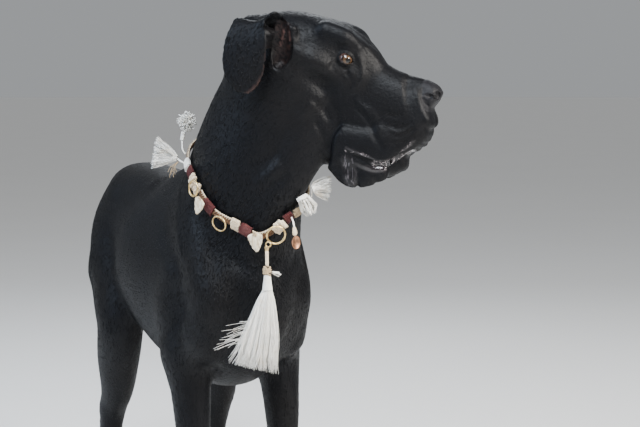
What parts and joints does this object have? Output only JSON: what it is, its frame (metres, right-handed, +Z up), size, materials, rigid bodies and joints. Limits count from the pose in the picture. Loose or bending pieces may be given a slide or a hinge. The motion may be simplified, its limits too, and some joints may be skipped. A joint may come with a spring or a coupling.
{
  "type": "great dane",
  "caption": "Great dane dog standing four-square at life size, head raised and turned to its left, with a knotted cord collar of rings, shells and yarn tassels.",
  "frame": {"origin": "middle of the bounding box, on the floor under the paws", "axes": "+X towards the dog's front, +Y towards its left side, +Z up"},
  "size_m": [1.1496, 0.394, 1.1143],
  "materials": {
    "black_coat": "short glossy black hair over skin",
    "nose_leather": "damp pebbled skin",
    "eye_amber": "wet amber-brown eye",
    "brown_cord": "flat brown braid",
    "burgundy_cord": "satin thread wound round",
    "cream_cloth": "soft rolled cotton",
    "cream_shell": "polished shell or bone",
    "brass": "satin",
    "copper": "brushed copper, bare",
    "white_yarn": "loose cotton yarn",
    "tan_cord": "twisted cord"
  },
  "bodies": {
    "root": {"collar_cord_far": "brown_cord", "collar_cord_front": "brown_cord", "collar_cord_rear": "brown_cord", "collar_cord_side": "brown_cord", "collar_ring_front": "brass", "collar_ring_rear": "brass", "collar_ring_side": "brass", "collar_roll_front": "cream_cloth", "collar_roll_rear": "cream_cloth", "collar_roll_rear_low": "cream_cloth", "collar_shell_front": "cream_shell", "collar_shell_rear": "cream_shell", "collar_tag": "copper", "collar_tie_left": "tan_cord", "collar_tie_rear": "white_yarn", "collar_wrap_cream": "cream_cloth", "collar_wrap_front": "burgundy_cord", "collar_wrap_left": "burgundy_cord", "collar_wrap_rear": "burgundy_cord", "collar_wrap_side": "burgundy_cord", "head": "black_coat", "left_ear": "black_coat", "left_eye": "eye_amber", "left_fore_paw": "black_coat", "left_foreleg": "black_coat", "left_hind_paw": "black_coat", "left_hock": "black_coat", "left_thigh": "black_coat", "neck": "black_coat", "nose": "nose_leather", "pendant_hook": "brass", "pendant_knot": "tan_cord", "pendant_strap": "cream_cloth", "pendant_tassel": "white_yarn", "pendant_tuft": "white_yarn", "right_ear": "black_coat", "right_eye": "eye_amber", "right_fore_paw": "black_coat", "right_foreleg": "black_coat", "right_hind_paw": "black_coat", "right_hock": "black_coat", "right_thigh": "black_coat", "tag_stem": "cream_cloth", "tail": "black_coat", "tassel_left_high": "white_yarn", "tassel_left_low": "white_yarn", "tassel_rear_high": "white_yarn", "tassel_rear_low": "white_yarn", "trunk": "black_coat"}
  },
  "joints": []
}
